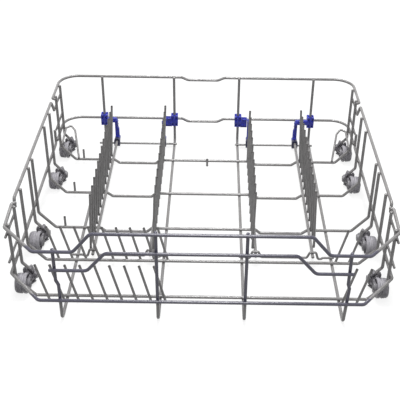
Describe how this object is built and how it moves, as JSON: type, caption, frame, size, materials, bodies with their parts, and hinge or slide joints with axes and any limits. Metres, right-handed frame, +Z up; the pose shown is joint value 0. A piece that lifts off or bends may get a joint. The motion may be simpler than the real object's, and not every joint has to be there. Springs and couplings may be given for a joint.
{
  "type": "dishwasher lower rack",
  "caption": "Rectangular welded-wire dishwasher lower rack with side rollers, raised front handle, fixed tines and folding plate tine rows locked by clips.",
  "frame": {"origin": "middle of the rack's footprint, on the surface it stands on", "axes": "+X across the rack to the right seen from the front, +Y to the rear, +Z up"},
  "size_m": [0.5162, 0.4958, 0.1476],
  "materials": {
    "coated_wire": "satin grey nylon coating on steel wire",
    "blue_clip": "moulded blue plastic",
    "dark_bearing": "moulded dark plastic",
    "roller": "moulded mid-grey plastic",
    "carrier": "moulded grey plastic"
  },
  "bodies": {
    "rack": {"rim_rear": "coated_wire", "rail_left": "coated_wire", "rail_right": "coated_wire", "rim_front": "coated_wire", "bar_front": "coated_wire", "ring_rear": "coated_wire", "ring_lower": "coated_wire", "cross_1": "coated_wire", "cross_2": "coated_wire", "cross_3": "coated_wire", "cross_4": "coated_wire", "cross_5": "coated_wire", "run_1": "coated_wire", "run_2": "coated_wire", "run_3": "coated_wire", "run_4": "coated_wire", "uprights_left": "coated_wire", "uprights_right": "coated_wire", "side_stubs": "coated_wire", "stay_left": "coated_wire", "stay_right": "coated_wire", "hinge_wire_left": "coated_wire", "hinge_wire_right": "coated_wire", "rear_wire_left": "coated_wire", "rear_wire_right": "coated_wire", "fixed_tines_rear": "coated_wire", "fixed_tines_front": "coated_wire", "pegs": "coated_wire", "bearings": "dark_bearing", "retainer_1": "blue_clip", "retainer_2": "blue_clip", "retainer_3": "blue_clip", "retainer_4": "blue_clip", "carrier_1": "carrier", "carrier_2": "carrier", "carrier_3": "carrier", "carrier_4": "carrier", "carrier_5": "carrier", "carrier_6": "carrier", "carrier_7": "carrier", "carrier_8": "carrier"},
    "row_1": {"comb_1": "coated_wire", "lever_1": "blue_clip"},
    "row_2": {"comb_2": "coated_wire", "lever_2": "blue_clip"},
    "row_3": {"comb_3": "coated_wire", "lever_3": "blue_clip"},
    "row_4": {"comb_4": "coated_wire", "lever_4": "blue_clip"},
    "wheel_1": {"roller_1": "roller"},
    "wheel_2": {"roller_2": "roller"},
    "wheel_3": {"roller_3": "roller"},
    "wheel_4": {"roller_4": "roller"},
    "wheel_5": {"roller_5": "roller"},
    "wheel_6": {"roller_6": "roller"},
    "wheel_7": {"roller_7": "roller"},
    "wheel_8": {"roller_8": "roller"}
  },
  "joints": [
    {"name": "row_1_fold", "type": "hinge", "parent": "rack", "child": "row_1", "pos_m": [-0.16, 0, 0.01324], "axis": [0, 1, 0], "range_deg": [0, 84.7]},
    {"name": "row_2_fold", "type": "hinge", "parent": "rack", "child": "row_2", "pos_m": [-0.077, 0, 0.01324], "axis": [0, -1, 0], "range_deg": [0, 90.6]},
    {"name": "row_3_fold", "type": "hinge", "parent": "rack", "child": "row_3", "pos_m": [0.077, 0, 0.01324], "axis": [0, 1, 0], "range_deg": [0, 87.4]},
    {"name": "row_4_fold", "type": "hinge", "parent": "rack", "child": "row_4", "pos_m": [0.16, 0, 0.01324], "axis": [0, -1, 0], "range_deg": [0, 85.3]},
    {"name": "wheel_1_spin", "type": "hinge", "parent": "rack", "child": "wheel_1", "pos_m": [-0.248, 0.18375, 0.0144], "axis": [1, 0, 0], "continuous": true},
    {"name": "wheel_2_spin", "type": "hinge", "parent": "rack", "child": "wheel_2", "pos_m": [-0.248, 0.08125, 0.0144], "axis": [1, 0, 0], "continuous": true},
    {"name": "wheel_3_spin", "type": "hinge", "parent": "rack", "child": "wheel_3", "pos_m": [-0.248, -0.08525, 0.0144], "axis": [1, 0, 0], "continuous": true},
    {"name": "wheel_4_spin", "type": "hinge", "parent": "rack", "child": "wheel_4", "pos_m": [-0.248, -0.18295, 0.0144], "axis": [1, 0, 0], "continuous": true},
    {"name": "wheel_5_spin", "type": "hinge", "parent": "rack", "child": "wheel_5", "pos_m": [0.248, 0.18375, 0.0144], "axis": [1, 0, 0], "continuous": true},
    {"name": "wheel_6_spin", "type": "hinge", "parent": "rack", "child": "wheel_6", "pos_m": [0.248, 0.08125, 0.0144], "axis": [1, 0, 0], "continuous": true},
    {"name": "wheel_7_spin", "type": "hinge", "parent": "rack", "child": "wheel_7", "pos_m": [0.248, -0.08525, 0.0144], "axis": [1, 0, 0], "continuous": true},
    {"name": "wheel_8_spin", "type": "hinge", "parent": "rack", "child": "wheel_8", "pos_m": [0.248, -0.18295, 0.0144], "axis": [1, 0, 0], "continuous": true}
  ]
}
